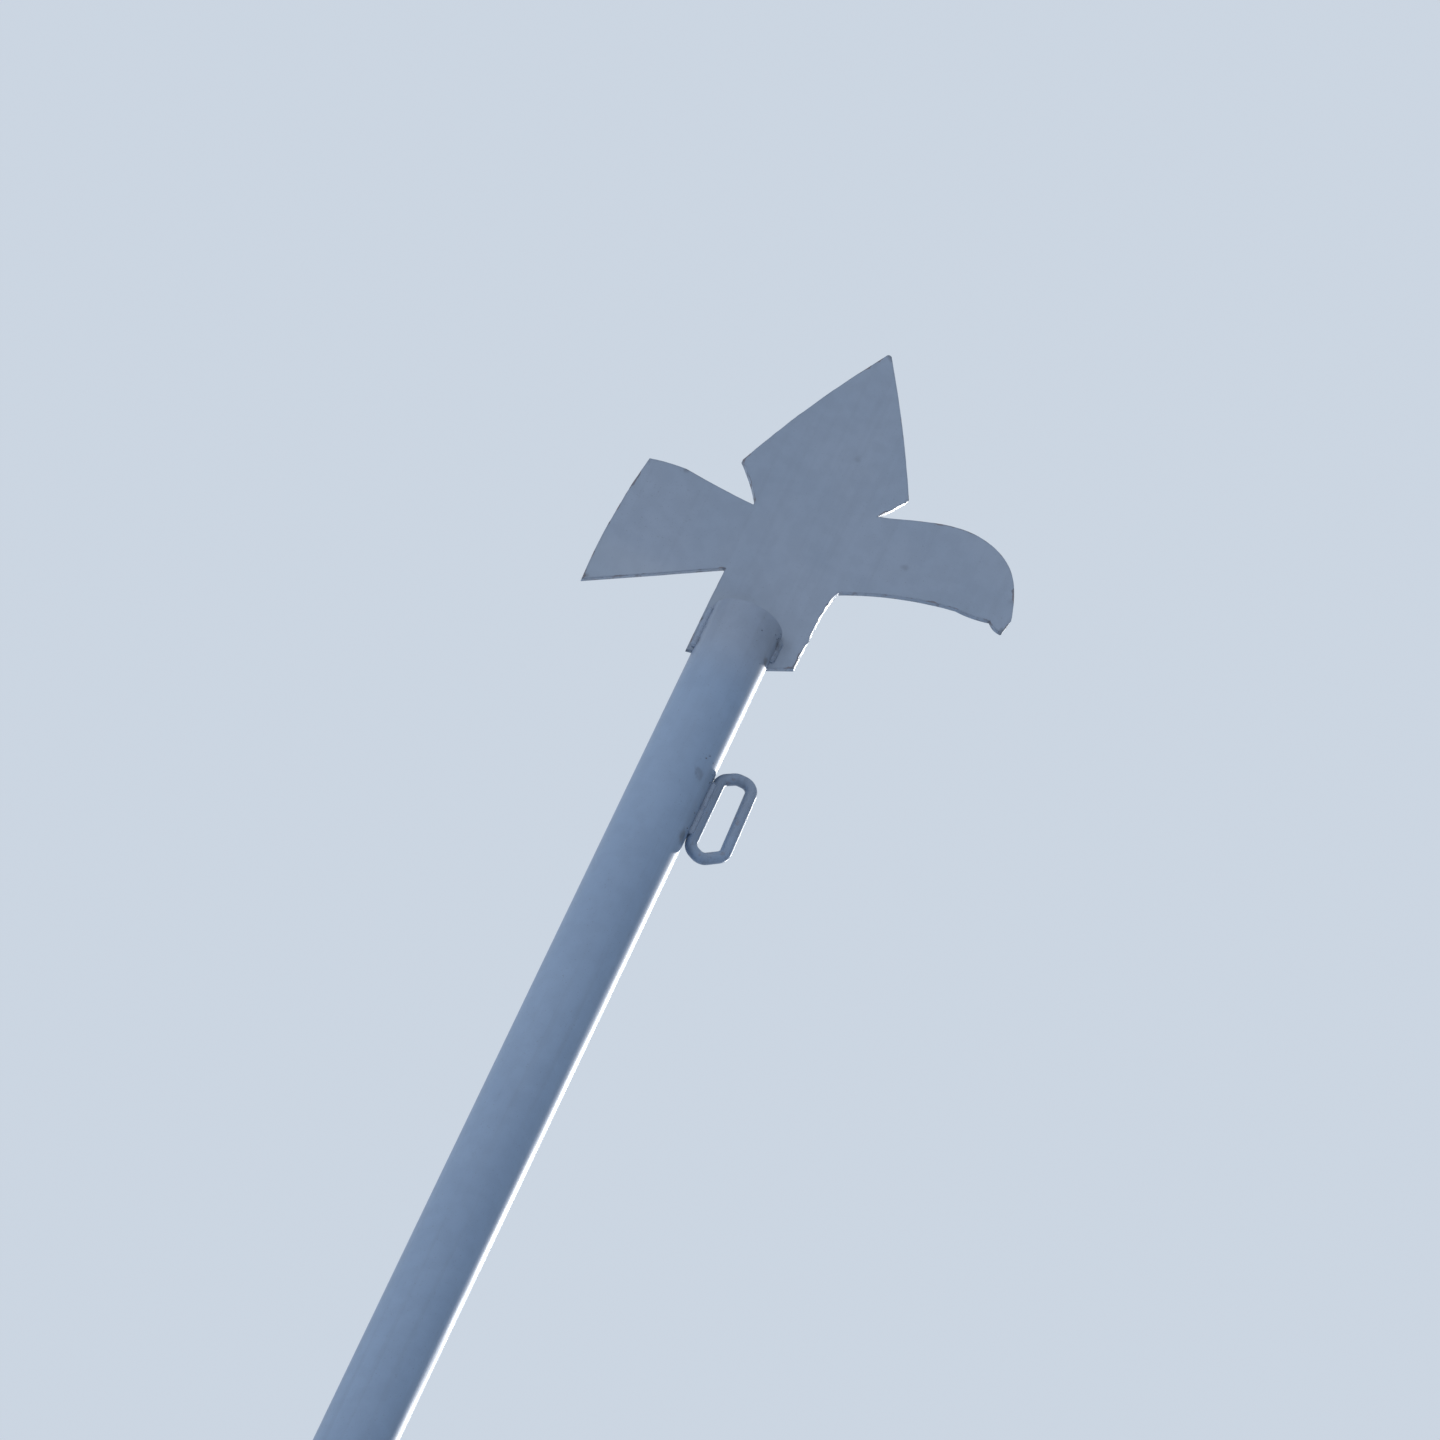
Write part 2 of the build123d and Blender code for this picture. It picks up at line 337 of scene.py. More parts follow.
run_stain.links.new(mask, made["Mask"])

# %% [markdown]
# Rust isn't a flat brown either. Dark scale, red-brown and a bright orange powder lie side
# by side in grains of a millimetre or so, and its face is rough.

# %% Rust
rust, given, made = new_group("rust", {"Place": ORIGIN}, {"Color": BLACK, "Height": 0.0})
scale_dark = (0.034, 0.026, 0.025, 1)
rust_brown = (0.105, 0.058, 0.040, 1)
rust_orange = (0.20, 0.105, 0.058, 1)
coarse = grain(rust, given["Place"], 240, 5)
powder = threshold(rust, grain(rust, given["Place"], 620, 3), 0.58, 0.72)
colour = mixed(rust, threshold(rust, coarse, 0.38, 0.58), scale_dark, rust_brown)
rust.links.new(mixed(rust, powder, colour, rust_orange), made["Color"])
rust.links.new(grain(rust, given["Place"], 1100, 4), made["Height"])

# %% [markdown]
# Paint is thinnest on an outside edge and goes there first. A piece that needs this carries
# its distance from the nearest edge as an attribute, and this group turns that distance
# into a ragged line of bare, rusting steel. Near the ground, splashed dirt does the same
# from below.

# %% Worn edges and splashed dirt
worn_edge, given, made = new_group(
    "worn_edge",
    {"Place": ORIGIN, "Distance": 1.0, "Reach": 0.002},
    {"Mask": 0.0},
)
ragged = maths(worn_edge, "SUBTRACT", grain(worn_edge, given["Place"], 90, 6), 0.42)
ragged = times(worn_edge, ragged, times(worn_edge, given["Reach"], 9))
edge = plus(worn_edge, given["Distance"], ragged)
solid = times(worn_edge, given["Reach"], 0.6)
worn_edge.links.new(threshold(worn_edge, edge, solid, given["Reach"], 1.0, 0.0), made["Mask"])

ground_splash, given, made = new_group("ground_splash", {"Place": ORIGIN, "Top": 0.3}, {"Mask": 0.0})
height = height_of(ground_splash, given["Place"])
ragged = times(ground_splash, grain(ground_splash, given["Place"], 45, 5), given["Top"])
edge = plus(ground_splash, height, ragged)
spots = threshold(ground_splash, grain(ground_splash, given["Place"], 300, 4), 0.3, 0.6, 0.45, 1.0)
low = threshold(ground_splash, edge, 0, given["Top"], 1.0, 0.0)
ground_splash.links.new(times(ground_splash, low, spots), made["Mask"])

# %% [markdown]
# A finish is a material with one shader. The colour, the roughness and the height come from
# the groups, while the numbers that are the same all over stay on the shader itself, so
# they survive an export to other programs.


# %% A finish from its parts
def new_finish(name):
    """An empty material, with its tree and the place of each point on the steel."""
    finish = bpy.data.materials.new(name)
    finish.use_nodes = True
    print("finish " + name)
    tree = finish.node_tree
    return finish, tree, add_node(tree, "TexCoord").outputs["Object"]


def coat_of(tree, place, paint, faded, grime, streaks, dullness):
    """A coat of the weathered paint in these colours."""
    return use_group(
        tree, weathered_paint, place=place, paint=paint, faded=faded,
        grime=grime, streaks=streaks, dullness=dullness,
    )


def finish_shader(tree, colour, roughness, height, relief, metallic=0.0):
    """Plugs the worked-out colour, roughness and relief into the material's shader."""
    shader = tree.nodes["Principled BSDF"]
    tree.links.new(colour, shader.inputs["Base Color"])
    tree.links.new(roughness, shader.inputs["Roughness"])
    if isinstance(metallic, bpy.types.NodeSocket):
        tree.links.new(metallic, shader.inputs["Metallic"])
    else:
        shader.inputs["Metallic"].default_value = metallic
    bump = add_node(tree, "Bump", {"Height": height, "Distance": relief, "Strength": 1.0})
    tree.links.new(bump.outputs["Normal"], shader.inputs["Normal"])


# %% [markdown]
# The colours of the paint, the dirt and the metal stand together, so that they can be
# compared. The paint is a grey with painted blue sky light in it. It is paler and greyer on
# the bird, and bluer on the pole, where the extra blue is a painted reflection of the sky in
# the round glossy pipe. It is darker on the bent bars and on most of the beads.

# %% Colours
# The pole's extra blue over the bird's grey is a painted reflection of the sky.
grey_paint = (0.152, 0.228, 0.356, 1)
grey_faded = (0.162, 0.240, 0.370, 1)
top_grey = (0.168, 0.224, 0.324, 1)
top_faded = (0.179, 0.236, 0.337, 1)
bird_grey = (0.179, 0.238, 0.337, 1)
bird_faded = (0.194, 0.251, 0.350, 1)
bar_grey = (0.142, 0.188, 0.270, 1)
weld_grey = (0.088, 0.118, 0.172, 1)
weld_faded = (0.112, 0.150, 0.220, 1)
# A pale blue-grey for the painted light on the plate above the pipe mouth.
painted_mouth_light = (0.36, 0.41, 0.47, 1)
road_grime = (0.085, 0.095, 0.105, 1)
# Dark for burnt paint and grime, and for painted shade where a mark stands in for shade.
burn_and_shade_dark = (0.030, 0.030, 0.034, 1)
splash_dirt = (0.11, 0.085, 0.062, 1)
steel_bright = (0.36, 0.37, 0.39, 1)
zinc_dark = (0.30, 0.31, 0.33, 1)
zinc_light = (0.42, 0.43, 0.45, 1)
zinc_chalk = (0.5, 0.5, 0.49, 1)

# %% [markdown]
# The pole's coat is scorched at the welds, and a little rust runs down from there. Its last
# few centimetres take the bird's greyer tone. Painted shade, with a little soot, darkens the
# right side of the pipe's top beside the bird's tab, and painted shade alone darkens the left
# side of its top. Two painted shadow spots lie across its joint with the bird, so both share
# those. A painted shadow darkens the pipe at the ring's lower end, and two faint blots darken
# its right side along the ring. The lowest hand's width is splashed with dirt.

# %% The pole's paint
ring_middle = (ring_low.z + ring_high.z) / 2
cleat_posts = [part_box("cleat_post_" + half) for half in ("upper", "lower")]
cleat_levels = [(low.z + high.z) / 2 for low, high in cleat_posts]
cleat_feet = [Vector((pipe_r, 0, level)) for level in cleat_levels]


def on_pipe(across, height):
    """The place on the front of the pipe, this far across and this high."""
    return Vector((across, -math.sqrt(max(pipe_r**2 - across**2, 0)), height))


def with_marks(tree, place, colour, marks):
    """Darkens the colour at each mark, given as its centre, reach, raggedness and strength."""
    for centre, reach, raggedness, strength in marks:
        mark = use_group(tree, ragged_blot, place=place, centre=centre, reach=reach, raggedness=raggedness)
        colour = mixed(tree, times(tree, mark["Mask"], strength), colour, burn_and_shade_dark)
    return colour


# Two painted shadow spots across the joint of the pipe and the bird's tab.
painted_shadow_spots = (
    (on_pipe(29 * MM, pipe_top - 11 * MM), 6 * MM, 0.8, 0.55),
    (on_pipe(27 * MM, pipe_top - 35 * MM), 6 * MM, 0.9, 0.55),
)
pole_paint, tree, place = new_finish("pole_paint")
near_bird = threshold(tree, height_of(tree, place), pipe_top - 90 * MM, pipe_top - 30 * MM)
paint = mixed(tree, near_bird, grey_paint, top_grey)
faded = mixed(tree, near_bird, grey_faded, top_faded)
coat = coat_of(tree, place, paint, faded, road_grime, streaks=0.10, dullness=0.38)
marks = (
    *painted_shadow_spots,
    # Painted shade beside the bird's tab, with a little soot.
    (on_pipe(29 * MM, pipe_top - 18 * MM), 40 * MM, 0.5, 0.23),
    # Painted shade on the lit left of the pipe's top.
    (on_pipe(-22 * MM, pipe_top - 6 * MM), 48 * MM, 0.5, 0.09),
    (on_pipe(17 * MM, ring_high.z - 30 * MM), 7 * MM, 3.0, 0.3),
    # Painted shadow at the ring's lower end.
    (on_pipe(27 * MM, ring_low.z + 8 * MM), 9 * MM, 1.2, 0.5),
    # Two faint blots darken the pipe's right side along the ring.
    (on_pipe(29 * MM, ring_middle + 14 * MM), 26 * MM, 0.5, 0.1),
    (on_pipe(29 * MM, ring_middle - 18 * MM), 26 * MM, 0.5, 0.1),
    (on_pipe(-30 * MM, bird_low.z + 8 * MM), 10 * MM, 1.2, 0.45),
    *((foot, 14 * MM, 1.2, 0.6) for foot in cleat_feet),
)
colour = with_marks(tree, place, coat["Color"], marks)
rusty = use_group(tree, rust, place=place)
for source, width, length in (
    (Vector((pipe_r, 0, ring_low.z + 8 * MM)), 12 * MM, 0.25),
    (Vector((-pipe_r, 0, bird_low.z + 2 * MM)), 9 * MM, 0.15),
    *((foot - Vector((0, 0, 5 * MM)), 12 * MM, 0.25) for foot in cleat_feet),
):
    run = use_group(tree, run_stain, place=place, source=source, width=width, length=length)["Mask"]
    colour = mixed(tree, times(tree, run, 0.3), colour, rusty["Color"])
splash = use_group(tree, ground_splash, place=place, top=0.34)["Mask"]
colour = mixed(tree, times(tree, splash, 0.7), colour, splash_dirt)
roughness = plus(tree, coat["Roughness"], times(tree, splash, 0.3))
finish_shader(tree, colour, roughness, coat["Height"], 0.05 * MM)

# %% [markdown]
# The bird has the same coat, a little flatter. Its paint is thin along the cut outline, and
# the cut itself shows the fine cross lines of a flame cutter under a skin of paint. Noise
# that takes no account of the plate's thickness draws those lines straight through it.
# Small dark spots sit where the torch was started or where birds have sat. The plate just
# above the pipe mouth is painted lighter, a painted light that offsets the mouth's shade on it.

# %% The bird's paint and its cut edge
def on_bird(across, up):
    """The place in the middle of the plate, this many millimetres across and above the pipe."""
    return Vector((across * MM, 0, pipe_top + up * MM))


specks = tuple(
    (on_bird(across, up), reach * MM, 1.3, strength)
    for across, up, reach, strength in (
        (-98, 104, 5, 0.5), (13, 288, 6, 0.45), (190, 95, 5, 0.5), (186, 124, 5, 0.35), (96, 110, 5, 0.22),
        (24, 185, 5, 0.22), (-129, 96, 4, 0.35), (-133, -27, 4, 0.4), (-35, -45, 6, 0.5),
    )
)
bird_paint, tree, place = new_finish("bird_paint")
coat = coat_of(tree, place, bird_grey, bird_faded, road_grime, streaks=0.05, dullness=0.46)
parts = add_node(tree, "SeparateXYZ", {"Vector": place}).outputs
# Painted light: the plate just above the pipe mouth is lightened against the mouth's shade.
lit_above_mouth = maths(
    tree, "MULTIPLY",
    threshold(tree, parts["Z"], pipe_top, pipe_top + 26 * MM, 0.12, 0.0),
    threshold(tree, parts["X"], 4 * MM, 26 * MM, 1.0, 0.0),
)
colour = mixed(tree, lit_above_mouth, coat["Color"], painted_mouth_light)
# Painted shade, with a little soot, on the tab just right of the pipe.
joint_soot_and_shade = (on_bird(33, -6), 13 * MM, 0.5, 0.12)
colour = with_marks(tree, place, colour, (*painted_shadow_spots, *specks, joint_soot_and_shade))
distance = add_node(tree, "Attribute", attribute_name="from_edge").outputs["Fac"]
thin = threshold(tree, distance, 0, 2.2 * MM, 0.16, 0.0)
colour = mixed(tree, thin, colour, burn_and_shade_dark)
bare = use_group(tree, worn_edge, place=place, distance=distance, reach=1.2 * MM)["Mask"]
rusty = use_group(tree, rust, place=place)
colour = mixed(tree, times(tree, bare, 0.5), colour, rusty["Color"])
roughness = plus(tree, coat["Roughness"], times(tree, bare, 0.25))
height = maths(tree, "SUBTRACT", coat["Height"], times(tree, bare, 1.2))
finish_shader(tree, colour, roughness, height, 0.06 * MM)

bird_cut, tree, place = new_finish("bird_cut_edge")
coat = coat_of(tree, place, bird_grey, bird_faded, burn_and_shade_dark, streaks=0.3, dullness=0.34)
colour = with_marks(tree, place, coat["Color"], specks)
across_plate = add_node(tree, "Mapping", {"Vector": place, "Scale": (1, 0, 1)}).outputs["Vector"]
drag_lines = grain(tree, across_plate, 1100, 2)
bare = threshold(tree, grain(tree, place, 140, 5), 0.54, 0.64)
rusty = use_group(tree, rust, place=place)
colour = mixed(tree, times(tree, bare, 0.45), colour, rusty["Color"])
roughness = plus(tree, coat["Roughness"], times(tree, bare, 0.2))
finish_shader(tree, colour, roughness, drag_lines, 0.2 * MM)

# %% [markdown]
# A weld bead is hard bright metal when new. Here it has been painted over and has since
# lost some of that paint from its crests, so paint, dark scale and a little rust show. The
# beads at the pole's head have kept nearly all of it, so they are paler. Beside the bird's
# tab they share the two painted shadow spots with the pipe.


# %% Weld metal
def weld_coat(name, paint, faded, rust_share, marks=()):
    """A painted bead, with this share of rust on its crests."""
    finish, tree, place = new_finish(name)
    coat = coat_of(tree, place, paint, faded, burn_and_shade_dark, streaks=0.3, dullness=0.46)
    rusty = use_group(tree, rust, place=place)
    lost = threshold(tree, grain(tree, place, 210, 5), 0.50, 0.62)
    colour = with_marks(tree, place, coat["Color"], marks)
    colour = mixed(tree, times(tree, lost, rust_share), colour, rusty["Color"])
    roughness = plus(tree, coat["Roughness"], times(tree, lost, 0.22))
    height = plus(tree, coat["Height"], times(tree, lost, rusty["Height"]))
    finish_shader(tree, colour, roughness, height, 0.12 * MM)
    return finish


weld_finish = weld_coat("weld_metal", weld_grey, weld_faded, 0.3)
head_weld_finish = weld_coat("head_weld", top_grey, top_faded, 0.1, painted_shadow_spots)

# %% [markdown]
# The ring and the cleat are bent from round bar, and their coat is darker than the pole's.
# The halyard has rubbed them dull bright where it runs: a little on the ring's lower bend,
# and more on the cleat behind its horns. Metallic and roughness change together there,
# because bare steel is both.

# %% The bar's paint, rubbed by the halyard
bar_paint, tree, place = new_finish("bar_paint")
coat = coat_of(tree, place, bar_grey, grey_paint, burn_and_shade_dark, streaks=0.25, dullness=0.36)
rusty = use_group(tree, rust, place=place)
worn_bare = threshold(tree, grain(tree, place, 170, 5), 0.60, 0.68)
colour = mixed(tree, times(tree, worn_bare, 0.3), coat["Color"], rusty["Color"])
cleat_middle = (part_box("cleat_horn")[0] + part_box("cleat_horn")[1]) / 2
ring_rest = Vector(((ring_low.x + ring_high.x) / 2, 0, ring_low.z + 11 * MM))
rubbed = use_group(tree, ragged_blot, place=place, centre=ring_rest, reach=9 * MM)["Mask"]
rubbed = times(tree, rubbed, 0.35)
for up in (-1, 1):
    behind_horn = cleat_middle + Vector((-4 * MM, 0, up * 42 * MM))
    spot = use_group(tree, ragged_blot, place=place, centre=behind_horn, reach=22 * MM, raggedness=3.0)["Mask"]
    rubbed = maths(tree, "MAXIMUM", rubbed, spot)
colour = mixed(tree, rubbed, colour, steel_bright)
roughness = maths(tree, "SUBTRACT", coat["Roughness"], times(tree, rubbed, 0.12))
bare_steel = times(tree, rubbed, 0.85)
finish_shader(tree, colour, roughness, coat["Height"], 0.06 * MM, metallic=bare_steel)

# %% [markdown]
# The foot stands in wet dirt. It keeps the pole's grey, dulled and splashed all over, with
# rust along every edge.

# %% The foot's paint
foot_paint, tree, place = new_finish("foot_paint")
coat = coat_of(tree, place, grey_paint, grey_faded, splash_dirt, streaks=0.5, dullness=0.5)
distance = add_node(tree, "Attribute", attribute_name="from_edge").outputs["Fac"]
bare = use_group(tree, worn_edge, place=place, distance=distance, reach=2.2 * MM)["Mask"]
blisters = threshold(tree, grain(tree, place, 55, 6), 0.61, 0.66)
bare = maths(tree, "MAXIMUM", bare, blisters)
rusty = use_group(tree, rust, place=place)
splash = use_group(tree, ground_splash, place=place, top=0.2)["Mask"]
colour = mixed(tree, times(tree, splash, 0.75), coat["Color"], splash_dirt)
colour = mixed(tree, times(tree, bare, 0.85), colour, rusty["Color"])
spoilt = maths(tree, "MAXIMUM", bare, splash)
roughness = plus(tree, coat["Roughness"], times(tree, spoilt, 0.28))
height = plus(tree, coat["Height"], times(tree, bare, rusty["Height"]))
finish_shader(tree, colour, roughness, height, 0.15 * MM)

# %% [markdown]
# The anchor bolts are galvanised: dull zinc with a faint crystal pattern, going chalky white
# and brown in the corners. Voronoi cells give the crystals.

# %% Zinc
zinc, tree, place = new_finish("anchor_zinc")
crystals = add_node(tree, "TexVoronoi", {"Vector": place, "Scale": 320.0}).outputs["Color"]
crystals = add_node(tree, "RGBToBW", {"Color": crystals}).outputs[0]
colour = mixed(tree, crystals, zinc_dark, zinc_light)
chalk = threshold(tree, grain(tree, place, 160, 5), 0.5, 0.64)
rusty = use_group(tree, rust, place=place)
brown = threshold(tree, grain(tree, place, 95, 5), 0.56, 0.66)
colour = mixed(tree, times(tree, chalk, 0.5), colour, zinc_chalk)
colour = mixed(tree, times(tree, brown, 0.7), colour, rusty["Color"])
dirty = maths(tree, "MAXIMUM", chalk, brown)
roughness = threshold(tree, dirty, 0, 1, 0.38, 0.8)
metallic = threshold(tree, dirty, 0, 1, 0.9, 0.1)
finish_shader(tree, colour, roughness, grain(tree, place, 900), 0.05 * MM, metallic=metallic)

# %% [markdown]
# Two helpers carry solids from the frame into new pieces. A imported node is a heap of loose
# triangles, so its copy is first merged into one closed skin with whole faces. The other
# turns a finished form into a piece that rides on the flagpole's only body.


# %% From a form to a piece
def merged_copy(node):
    """A closed form with whole faces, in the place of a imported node."""
    form = bmesh.new()
    form.from_mesh(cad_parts[node].data)
    bmesh.ops.remove_doubles(form, verts=form.verts, dist=0.002 * MM)
    bmesh.ops.dissolve_limit(form, angle_limit=math.radians(1), verts=form.verts, edges=form.edges)
    return form


def new_piece(form, name, finishes, stands_for=(), crease=50):
    """Makes a form into a smooth-shaded piece of the flagpole, creased at sharp corners."""
    mesh = bpy.data.meshes.new(name)
    form.to_mesh(mesh)
    form.free()
    for finish in finishes:
        mesh.materials.append(finish)
    mesh.shade_smooth()
    mesh.set_sharp_from_angle(angle=math.radians(crease))
    piece = bpy.data.objects.new(name, mesh)
    bpy.context.scene.collection.objects.link(piece)
    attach(piece, "root")
    if stands_for:
        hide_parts(*stands_for)
    print(f"{name}: {len(mesh.polygons)} faces")
    return piece


# %% [markdown]
# Seven solids have the real shape already: the pipe, the plates in its mouth, the ring and
# the cleat. They stay as they are and get a finish.

# %% Solids that stay
for node, finish in (
    ("pole_pipe", pole_paint),
    ("top_cap_front", pole_paint),
    ("top_cap_back", pole_paint),
    ("halyard_ring", bar_paint),
    ("cleat_horn", bar_paint),
    ("cleat_post_upper", bar_paint),
    ("cleat_post_lower", bar_paint),
):
    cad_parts[node].material_slots[0].material = finish
    print(f"{node}: {finish.name}")

# %% [markdown]
# The plates were cut by hand. A cut plate has three marks that a solid lacks: its corners
# are slightly round, its outline wanders by half a millimetre, and a large one isn't quite
# flat. The rim is bevelled first. Then the plate is sliced both ways into small cells, as
# on squared paper, which gives the inside enough corners to bend and lets each corner
# remember how far it is from the edge.


# %% Working up a cut plate
def round_rims(form, width, steps=2):
    """Rounds the corners between flat faces."""
    sharp = [edge for edge in form.edges if edge.calc_face_angle(0) > math.radians(40)]
    bmesh.ops.bevel(
        form, geom=sharp, offset=width, offset_type="OFFSET", segments=steps, profile=0.5,
        affect="EDGES", material=-1, clamp_overlap=True,
    )


def slice_in_cells(form, axes, cell):
    """Slices a form across the given axes, a cell apart."""
    for axis in axes:
        across = Vector((0, 0, 0))
        across[axis] = 1
        low = min(corner.co[axis] for corner in form.verts)
        high = max(corner.co[axis] for corner in form.verts)
        for step in range(1, math.ceil((high - low) / cell)):
            everything = [*form.verts, *form.edges, *form.faces]
            bmesh.ops.bisect_plane(
                form, geom=everything, dist=0.01 * MM, plane_co=across * (low + step * cell), plane_no=across
            )


def nearest_of(points):
    """A tree that gives the distance from any place to the nearest of the points."""
    tree = kdtree.KDTree(len(points))
    for index, point in enumerate(points):
        tree.insert(point, index)
    tree.balance()
    return lambda place: tree.find(place)[2]


def note_distance_from(form, rim_points):
    """Stores on each corner how far it lies from the nearest of the rim's points."""
    distance_to_rim = nearest_of(rim_points)
    layer = form.verts.layers.float.new("from_edge")
    for corner in form.verts:
        corner[layer] = distance_to_rim(corner.co)


def shade_evenly(piece):
    """Keeps flat faces looking flat right up to their rounded rims."""
    even_shading = piece.modifiers.new("even_shading", "WEIGHTED_NORMAL")
    even_shading.keep_sharp = True


# %% [markdown]
# The bird has all three marks. Its weld holds the plate still, so the wander and the bow
# begin a little above the pipe and grow from there. On the right side of its tab the torch
# leant, so the cut face there turns a little to the front and glints.

# %% Bird
edge_round = 1.5 * MM
cell = 4 * MM
outline_wander = 0.45 * MM
plate_bow = 0.8 * MM
torch_lean = 1.7 * MM
lean_reach, lean_fade = 9 * MM, 6 * MM
held_height, freed_over = 4 * MM, 30 * MM  # the weld holds the plate still up to this height
slow_wander, quick_wander, bow_waves, torch_shake = 55, 160, 6.5, 130  # waves to the metre

bird = merged_copy("bird_plate")
round_rims(bird, edge_round, 4)
slice_in_cells(bird, (0, 2), cell)
bmesh.ops.remove_doubles(bird, verts=bird.verts, dist=0.02 * MM)
bird.normal_update()
wall = [face for face in bird.faces if abs(face.normal.y) < 0.3]
rim_points = {corner for face in wall for corner in face.verts}
note_distance_from(bird, [corner.co.copy() for corner in rim_points])
for face in wall:
    face.material_index = 1
right_side = {
    corner.co.copy().freeze() for face in wall for corner in face.verts
    if face.normal.x > 0.95 and face.calc_center_median().x < 2 * pipe_r
}
from_right_side = nearest_of(right_side)
moves = []
for corner in bird.verts:
    flat = corner.co.xz.to_3d()
    free = min(max((corner.co.z - pipe_top - held_height) / freed_over, 0), 1)
    wander = noise.noise(flat * slow_wander) + 0.6 * noise.noise(flat * quick_wander)
    inwards = Vector((corner.normal.x, 0, corner.normal.z)) * (wander - 1) * outline_wander * free
    bow = Vector((0, noise.noise(flat * bow_waves + Vector((4, 1, 7))), 0)) * plate_bow * free
    touched = min(max((lean_reach - from_right_side(corner.co)) / lean_fade, 0), 1)
    towards_front = (plate_face - corner.co.y) / (2 * plate_face)
    shaky = 0.75 + noise.noise(Vector((0, 0, corner.co.z * torch_shake)))
    lean = Vector((-torch_lean * shaky * touched * towards_front, 0, 0))
    moves.append(inwards + bow + lean)
for corner, move in zip(bird.verts, moves):
    corner.co += move
shade_evenly(new_piece(bird, "bird_cutout", (bird_paint, bird_cut), ("bird_plate",)))

# %% [markdown]
# The foot plate and its ribs are thicker and stay flat, so they need only their rounded
# rims and the distance from them.

# %% Foot plate and ribs
for node in ("foot_plate", "rib_right", "rib_back", "rib_left", "rib_front"):
    form = merged_copy(node)
    round_rims(form, 0.9 * MM)
    slice_in_cells(form, (0, 1, 2), 6 * MM)
    bmesh.ops.remove_doubles(form, verts=form.verts, dist=0.02 * MM)
    form.normal_update()
    on_rim = [corner for corner in form.verts if max(abs(part) for part in corner.normal) < 0.97]
    note_distance_from(form, [corner.co.copy() for corner in on_rim])
    shade_evenly(new_piece(form, node + "_worn", (foot_paint,), (node,)))

# %% [markdown]
# A hand weld is a row of frozen ripples, each a crescent that lies over the one before. A
# straight bead is drawn first: a ring of points is extruded again and again, and swells and
# shrinks three times to a ripple. Pulling the sides back makes the crescents. The straight
# bead is then laid along the joint, point by point, so one recipe serves a straight corner,
# a ring round the pipe and the saddle round a post.


# %% Weld beads
leg_to_radius = 0.86
end_size = 0.4


def straight_bead(length, radius, ripple=1.9 * MM, seed=0):
    """A rippled bead along +X, with its crown towards +Z."""
    dice = random.Random(seed)
    form = bmesh.new()
    on_edge = Matrix.Rotation(math.pi / 2, 4, "Y")
    bmesh.ops.create_circle(form, cap_ends=True, segments=12, radius=radius * end_size, matrix=on_edge)
    front = list(form.edges)
    place, size = 0.0, end_size
    ripples = max(2, round(length / ripple))
    for number in range(ripples):
        swell = dice.uniform(0.93, 1.05)
        taper = min(1.0, 0.72 + 0.28 * min(number, ripples - 1 - number))
        for share, height in ((0.15, 0.90), (0.45, 1.03), (0.85, 1.0)):
            new_place = (number + share) * length / ripples
            new_size = swell * taper * height
            moved = bmesh.ops.extrude_edge_only(form, edges=front)["geom"]
            front = [part for part in moved if isinstance(part, bmesh.types.BMEdge)]
            ring = [part for part in moved if isinstance(part, bmesh.types.BMVert)]
            bmesh.ops.scale(form, vec=(1, new_size / size, new_size / size), verts=ring)
            bmesh.ops.translate(form, vec=(new_place - place, 0, 0), verts=ring)
            place, size = new_place, new_size
    last = bmesh.ops.extrude_edge_only(form, edges=front)["geom"]
    ring = [part for part in last if isinstance(part, bmesh.types.BMVert)]
    bmesh.ops.scale(form, vec=(1, end_size, end_size), verts=ring)
    bmesh.ops.translate(form, vec=(length - place, 0, 0), verts=ring)
    bmesh.ops.contextual_create(form, geom=ring)
    for corner in form.verts:
        corner.co.x -= 0.9 * ripple * (corner.co.y / radius) ** 2
    bmesh.ops.recalc_face_normals(form, faces=form.faces)
    return form


def lay_bead(form, path):
    """Lays a straight bead along path, which gives a place and a crown direction for a length."""
    for corner in form.verts:
        here, crown = path(corner.co.x)
        ahead = path(corner.co.x + 0.1 * MM)[0]
        behind = path(corner.co.x - 0.1 * MM)[0]
        along = (ahead - behind).normalized()
        crown = (crown - along * crown.dot(along)).normalized()
        corner.co = here + crown.cross(along) * corner.co.y + crown * corner.co.z
    return form


def straight_path(start, along, crown):
    """A path that runs straight from start."""
    along, crown = Vector(along).normalized(), Vector(crown)
    return lambda length: (Vector(start) + along * length, crown)


def joined(forms):
    """Several forms put together as one."""
    whole = bmesh.new()
    for form in forms:
        part = bpy.data.meshes.new("part")
        form.to_mesh(part)
        form.free()
        whole.from_mesh(part)
        bpy.data.meshes.remove(part)
    return whole


def new_bead(forms, name, finish=weld_finish, stands_for=()):
    """Makes one or more beads into a piece that is creased only where it turns sharply."""
    return new_piece(joined(forms), name, (finish,), stands_for, crease=75)


# %% [markdown]
# The bird's tab leaves the pipe on both sides, and a bead fills the corner in front of the
# plate and behind it. Each node's box gives the height and the width of its bead.

# %% Beads at the bird's tab
surface_x = math.sqrt(pipe_r**2 - plate_face**2)
for side, sign in (("left", -1), ("right", 1)):
    low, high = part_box("bird_weld_" + side)
    leg = high.y - plate_face
    beads = []
    for face in (-1, 1):
        start = (sign * surface_x, face * plate_face, low.z)
        bead = straight_bead(high.z - low.z, leg * leg_to_radius, seed=7 + sign + 3 * face)
        beads.append(lay_bead(bead, straight_path(start, (0, 0, 1), (sign, face, 0))))
    new_bead(beads, "bird_bead_" + side, head_weld_finish, ("bird_weld_" + side,))

